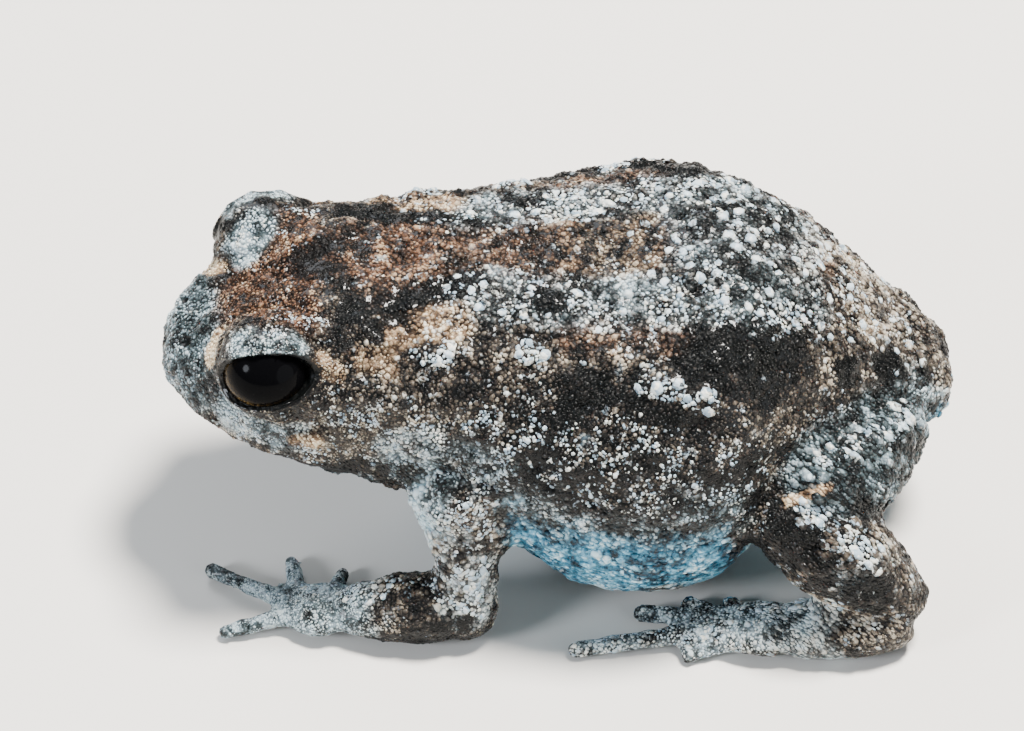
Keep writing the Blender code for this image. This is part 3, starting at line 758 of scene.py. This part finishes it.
swell = add(tree, "ShaderNodeBump", {"Height": sums["relief"], "Strength": 0.9, "Distance": CELL_HIGH})
crinkle = add(tree, "ShaderNodeBump", {"Height": fine, "Strength": 0.35, "Distance": GRAIN_HIGH,
                                       "Normal": swell.outputs["Normal"]})
tree.links.new(crinkle.outputs["Normal"], shader.inputs["Normal"])
skin.data.materials.clear()
skin.data.materials.append(hide)

# The granules: thousands of low domes of the skin itself, packed side by side, from great pearls to grains
# that a finger only just feels. One small dome is modelled for each size and laid in numbers, its foot sunk
# into the hide.
# Each size: its radius, how finely its dome is cut, and how many places are tried for it
GRAIN_CLASSES = ((0.19, 2, 9000), (0.14, 2, 1500), (0.115, 1, 14000), (0.085, 1, 60000), (0.062, 1, 130000))
# How small they are on the head, which ends here, on hands and feet, and on the flank, and how near the eye
HEAD_Y = -6.2
HEAD_SIZE = 0.72
DIGIT_SIZE = 0.75
FLANK_SIZE = 0.82
LID_SIZE = 0.6
# Great pearls stand only here, apart from each other: sacrum, rump, thigh, shank, arm and white clusters
GREAT_APART = 1.9
GREAT = (
    ((0.6, 4.0, 11.8), (1.8, 7.6, 11.0), 2.1, 1.0),
    ((0.8, 8.2, 10.4), (1.2, 11.2, 8.0), 1.7, 0.8),
    ((3.4, 10.6, 6.2), (5.4, 8.2, 6.4), 1.2, 0.9),
    ((6.7, 7.5, 5.8), (7.6, 9.4, 4.4), 0.8, 0.9),
    ((7.0, 8.8, 1.7), (6.7, 5.4, 1.1), 0.7, 0.8),
    ((6.4, -2.8, 6.0), (6.8, -3.2, 2.0), 0.7, 0.6),
    ((5.9, -4.4, 1.9), (5.2, -7.4, 1.5), 0.8, 0.8),
    ((3.60, -4.8, 10.8), (3.90, -4.1, 10.7), 0.5, 1.2),
    ((3.9, -1.6, 10.9), (4.1, -1.1, 10.8), 0.45, 1.2),
    ((5.2, 2.4, 10.3), (5.7, 4.3, 9.9), 0.5, 1.2),
    ((1.8, -3.4, 11.5), (2.6, 3.4, 11.4), 0.9, 0.5),
)
# Shares of a granule's radius: how high it stands, how deep its foot is sunk, and how near another may be
GRAIN_HEIGHT = 0.62
GRAIN_SINK = 0.32
CLOSE = 0.66
# Boxes in which neighbours are looked for, and how wide clumps of like granules are, in millimetres
BOX = 0.28
CLUMP = 0.9
# Granules of thigh and shank are long, and lie this way
LEG_LIE = np.array((0.35, 0.75, -0.55))
LEG_LONG = 1.35
# How much of the hide's map each granule takes, and how many are joined in one piece
PATCH_UV = 0.003
PER_PIECE = 9500
chance = np.random.default_rng(11)

mesh = skin.data
mesh.calc_loop_triangles()
corners = rows_of(mesh.loop_triangles, "vertices", kind=np.int32)
loops = rows_of(mesh.loop_triangles, "loops", kind=np.int32)
map_rows = rows_of(mesh.uv_layers["OFBake"].data, "uv", 2)
rows = points_of(skin)
outward = normals_of(skin)
near, left, right = (rows[corners[:, i]] for i in range(3))
area = np.linalg.norm(np.cross(left - near, right - near), axis=1) / 2
middle = (near + left + right) / 3


def is_free(foot, radius, apart, reach):
    """Whether a granule of this radius has room here among those already laid."""
    x, y, z = foot
    column, row, layer = math.floor(x / BOX), math.floor(y / BOX), math.floor(z / BOX)
    for dx, dy, dz in reach:
        for other_x, other_y, other_z, other in taken.get((column + dx, row + dy, layer + dz), ()):
            gap = CLOSE * apart * (other + radius)
            if (x - other_x) ** 2 + (y - other_y) ** 2 + (z - other_z) ** 2 < gap * gap:
                return False
    return True


def crowding(rows, facing):
    """How thickly granules stand at each place, from 0 to 1."""
    share = 1 - 0.35 * bareness(rows)
    share *= 1 - 0.85 * ease(-facing[:, 2], 0.35, 0.8)
    share *= ease(opening(rows), 1.06, 1.14)
    for centre in eyes.values():
        share *= np.linalg.norm(rows - centre, axis=1) > LID_FROM[0]
    above, behind = above_lips(rows)
    share *= 1 - (np.abs(above) < 0.3) * (behind < 6.8)
    share *= np.linalg.norm(folded(rows) - NOSTRIL, axis=1) > PIT_DARK[1]
    share *= rows[:, 2] > 0.12
    return share


odds = area * crowding(middle, outward[corners[:, 0]])
odds = np.cumsum(odds) / odds.sum()
taken = {}
number = 0
for size, cuts, tries in GRAIN_CLASSES:
    spots = np.searchsorted(odds, chance.random(tries))
    along, across = chance.random((2, tries))
    over = along + across > 1
    along[over], across[over] = 1 - along[over], 1 - across[over]
    great = size == GRAIN_CLASSES[0][0]
    share = np.stack((1 - along - across, along, across), 1)
    feet = np.einsum("ij,ijk->ik", share, rows[corners[spots]])
    ways = np.einsum("ij,ijk->ik", share, outward[corners[spots]])
    ways /= np.linalg.norm(ways, axis=1)[:, None]
    places = np.einsum("ij,ijk->ik", share, map_rows[loops[spots]])
    radii = size * chance.uniform(0.8, 1.2, tries)
    laid = folded(feet)
    digit = (laid[:, 2] < 1.6) & ((laid[:, 1] < -5) | (laid[:, 0] > 5.2))
    flank = (laid[:, 0] > 4.6) & (laid[:, 2] > 4.5) & (laid[:, 2] < 9.6) & (laid[:, 1] < 7)
    radii = radii * np.where(digit, DIGIT_SIZE, np.where(flank, FLANK_SIZE, 1.0))
    radii = radii * (LID_SIZE + (1 - LID_SIZE) * ease(opening(feet), 1.1, 1.7))
    radii = radii * (1 + 0.6 * bareness(feet))
    radii = radii * (HEAD_SIZE + (1 - HEAD_SIZE) * ease(feet[:, 1], HEAD_Y - 1, HEAD_Y + 1))
    wanted = patches(feet, GREAT) > chance.uniform(0.3, 1.0, tries) if great else np.ones(tries, bool)
    apart = GREAT_APART if great else 1.0
    far = 2 if great else 1
    reach = sorted(itertools.product(range(-far, far + 1), repeat=3), key=lambda step: sum(map(abs, step)))
    kept = []
    for index, (foot, radius, welcome) in enumerate(zip(feet.tolist(), radii.tolist(), wanted.tolist())):
        if welcome and is_free(foot, radius, apart, reach):
            taken.setdefault(tuple(math.floor(part / BOX) for part in foot), []).append((*foot, radius))
            kept.append(index)
    feet, ways, places, radii = feet[kept], ways[kept], places[kept], radii[kept]
    laid = folded(feet)

    bpy.ops.object.select_all(action="DESELECT")
    bpy.ops.mesh.primitive_ico_sphere_add(subdivisions=cuts, radius=1)
    dome = bpy.context.object
    if cuts > 1:
        press(dome, "DECIMATE", ratio=0.5)
    points = points_of(dome)
    faces = np.array([face.vertices[:] for face in dome.data.polygons])
    bpy.data.objects.remove(dome)

    lie = chance.normal(size=(len(feet), 3))
    leg = (laid[:, 1] > 6.2) & (laid[:, 2] < 7.4) & (laid[:, 0] > 3.2)
    lie[leg] = LEG_LIE
    first = lie - ways * np.einsum("ij,ij->i", lie, ways)[:, None]
    first /= np.linalg.norm(first, axis=1)[:, None]
    second = np.cross(ways, first)
    long = chance.uniform(0.9, 1.25, len(feet)) * np.where(leg, LEG_LONG, 1.0)
    wide = chance.uniform(0.8, 1.0, len(feet))
    height = GRAIN_HEIGHT * chance.uniform(0.75, 1.25, len(feet))
    height *= 0.6 + 0.4 * ease(laid[:, 2], 2.0, 5.0)
    height *= 1 - 0.45 * bareness(feet)
    clump = np.array([noise.noise(Vector(foot) / CLUMP) + 0.5 * noise.noise(Vector(foot) / CLUMP * 2.3)
                      for foot in feet])
    # Which granules are white: partly the frog's own white warts and partly painted glints, more in the
    # white patches, in clumps and on the great pearls
    white_and_glint_share = patches(feet, FROST_AND_GLINT_PATCHES) * (1 - 0.8 * patches(feet, TAN))
    likely = (0.10 + 0.45 * white_and_glint_share) * ease(clump, -0.45, 0.45) + 0.35 * white_and_glint_share ** 2
    pearly_and_glinting = ease(likely + chance.uniform(-0.45, 0.35, len(feet)) + 0.4 * great, 0.25, 0.75)
    tones = 0.8 * clump + chance.uniform(-0.5, 0.45, len(feet)) + 0.2 * great
    for start in range(0, len(feet), PER_PIECE):
        part = slice(start, min(start + PER_PIECE, len(feet)))
        many = part.stop - part.start
        bulge = points[None] * (1 + chance.uniform(-0.2, 0.2, (many, len(points), 1)))
        out = (first[part, None] * (bulge[..., :1] * (long[part] * radii[part])[:, None, None])
               + second[part, None] * (bulge[..., 1:2] * (wide[part] * radii[part])[:, None, None])
               + ways[part, None] * ((bulge[..., 2:] - GRAIN_SINK)
                                     * (height[part] * radii[part])[:, None, None]))
        domes = (feet[part, None] + out).reshape(-1, 3)
        number += 1
        made = bpy.data.meshes.new("granules")
        joined = (faces[None] + (np.arange(many) * len(points))[:, None, None]).reshape(-1, 3)
        made.from_pydata((domes / TO_MM).tolist(), [], joined.tolist())
        piece = bpy.data.objects.new("granules_%d" % number, made)
        bpy.context.collection.objects.link(piece)
        made.shade_smooth()
        # Each dome is painted lighter on its top and darker down to its sunk foot: painted light and shade
        # on its own relief
        dome_light_and_shade = np.tile(np.clip(points[:, 2], -0.3, 1) * 0.45 - 0.15, many)
        dress(piece, feet[part], np.repeat(tones[part], len(points)) + dome_light_and_shade,
              np.repeat(pearly_and_glinting[part], len(points)), times=len(points))
        patch_uv = np.repeat(places[part], len(points), 0)
        patch_uv = patch_uv + np.tile(points[:, :2], (many, 1)) * PATCH_UV / 2
        patch_uv = patch_uv[joined.ravel()].astype(np.float32)
        made.uv_layers.new(name="OFBake").data.foreach_set("uv", patch_uv.ravel())
        made.materials.append(hide)
        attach(piece, "root")

skin.data.transform(Matrix.Scale(1 / TO_MM, 4))
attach(skin, "root")
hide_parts(*flesh)

# The eyes: wet, domed and almost black, each a ball with a slightly bulging cornea that looks out and up, a
# level oval pupil and a dark iris dusted with dull gold. They stay apart from the lids that hold them.
CORNEA = 0.05
CORNEA_FROM = 0.45
# The pupil and the iris' edge, in shares of the ball's radius, and how wide and how high their oval is
PUPIL = 0.58
IRIS_EDGE = 0.73
IRIS_END = 0.80
OVAL_WIDE, OVAL_HIGH = 1.12, 0.86
EYE_BLACK = "#050506"
# The gold dust, whose grains are drawn coarse so that they show: their size in millimetres, and its dark
# and gold ends
DUST = 0.10
GOLD = ((0.42, "#120d08"), (0.72, "#63502f"))
# A living eye under its tears: clear and smooth over black, so that the lamps show in it as small glints
ball, tree, shader = new_material("wet dark eye")
ring = add(tree, "ShaderNodeAttribute", attribute_name="ring").outputs["Fac"]
place = add(tree, "ShaderNodeTexCoord").outputs["Object"]
dust = add(tree, "ShaderNodeTexNoise", {"Vector": place, "Scale": per_metre(DUST), "Detail": 3,
                                        "Roughness": 0.7}).outputs["Fac"]
gold = add(tree, "ShaderNodeValToRGB", {"Fac": dust})
for stop, (spot, code) in zip(gold.color_ramp.elements, GOLD):
    stop.position = spot
    stop.color = linear(code)
band = add(tree, "ShaderNodeValToRGB", {"Fac": ring})
# How much gold there is from the pupil outwards
for spot, shade in ((PUPIL, 0), (PUPIL + 0.04, 0.1), (IRIS_EDGE - 0.05, 0.25), (IRIS_EDGE, 1),
                    (IRIS_END, 0.1)):
    stop = band.color_ramp.elements.new(spot)
    stop.color = (shade, shade, shade, 1)
band.color_ramp.elements[-1].color = (0, 0, 0, 1)
low = add(tree, "ShaderNodeAttribute", attribute_name="low").outputs["Fac"]
gilt = add(tree, "ShaderNodeMath", {0: band.outputs["Color"], 1: low}, operation="MULTIPLY").outputs[0]
eye_colour = add(tree, "ShaderNodeMix", {"Factor": gilt, 6: linear(EYE_BLACK),
                                         7: gold.outputs["Color"]}, data_type="RGBA")
tree.links.new(eye_colour.outputs[2], shader.inputs["Base Color"])
shader.inputs["Roughness"].default_value = 0.10
shader.inputs["IOR"].default_value = WATER
shader.inputs["Specular IOR Level"].default_value = 0.05
for side, way in (("left", 1), ("right", -1)):
    bpy.ops.object.select_all(action="DESELECT")
    bpy.ops.mesh.primitive_uv_sphere_add(segments=72, ring_count=48, radius=EYE_RADIUS)
    eye = bpy.context.object
    eye.name = "eyeball_" + side
    rows = points_of(eye)
    ahead = rows[:, 2] / EYE_RADIUS
    rows *= (1 + CORNEA * ease(ahead, CORNEA_FROM, 1.0) / EYE_RADIUS)[:, None]
    place_points(eye, rows)
    oval = np.hypot(rows[:, 0] / OVAL_WIDE, rows[:, 1] / OVAL_HIGH) / EYE_RADIUS
    # The gold shows low and to the front
    lowest = ease((-rows[:, 1] - 0.6 * way * rows[:, 0]) / EYE_RADIUS, -0.3, 0.9)
    for name, values in (("ring", np.where(ahead > 0, oval, 1.0)), ("low", lowest)):
        layer = eye.data.attributes.new(name, "FLOAT", "POINT")
        layer.data.foreach_set("value", values.astype(np.float32))
    turn = Vector((LOOKS[0] * way, LOOKS[1], LOOKS[2])).to_track_quat("Z", "Y").to_matrix().to_4x4()
    eye.data.transform(Matrix.Scale(1 / TO_MM, 4) @ Matrix.Translation(Vector(eyes[side])) @ turn)
    eye.data.shade_smooth()
    eye.data.materials.append(ball)
    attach(eye, "root")
    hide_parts("eye_" + side)
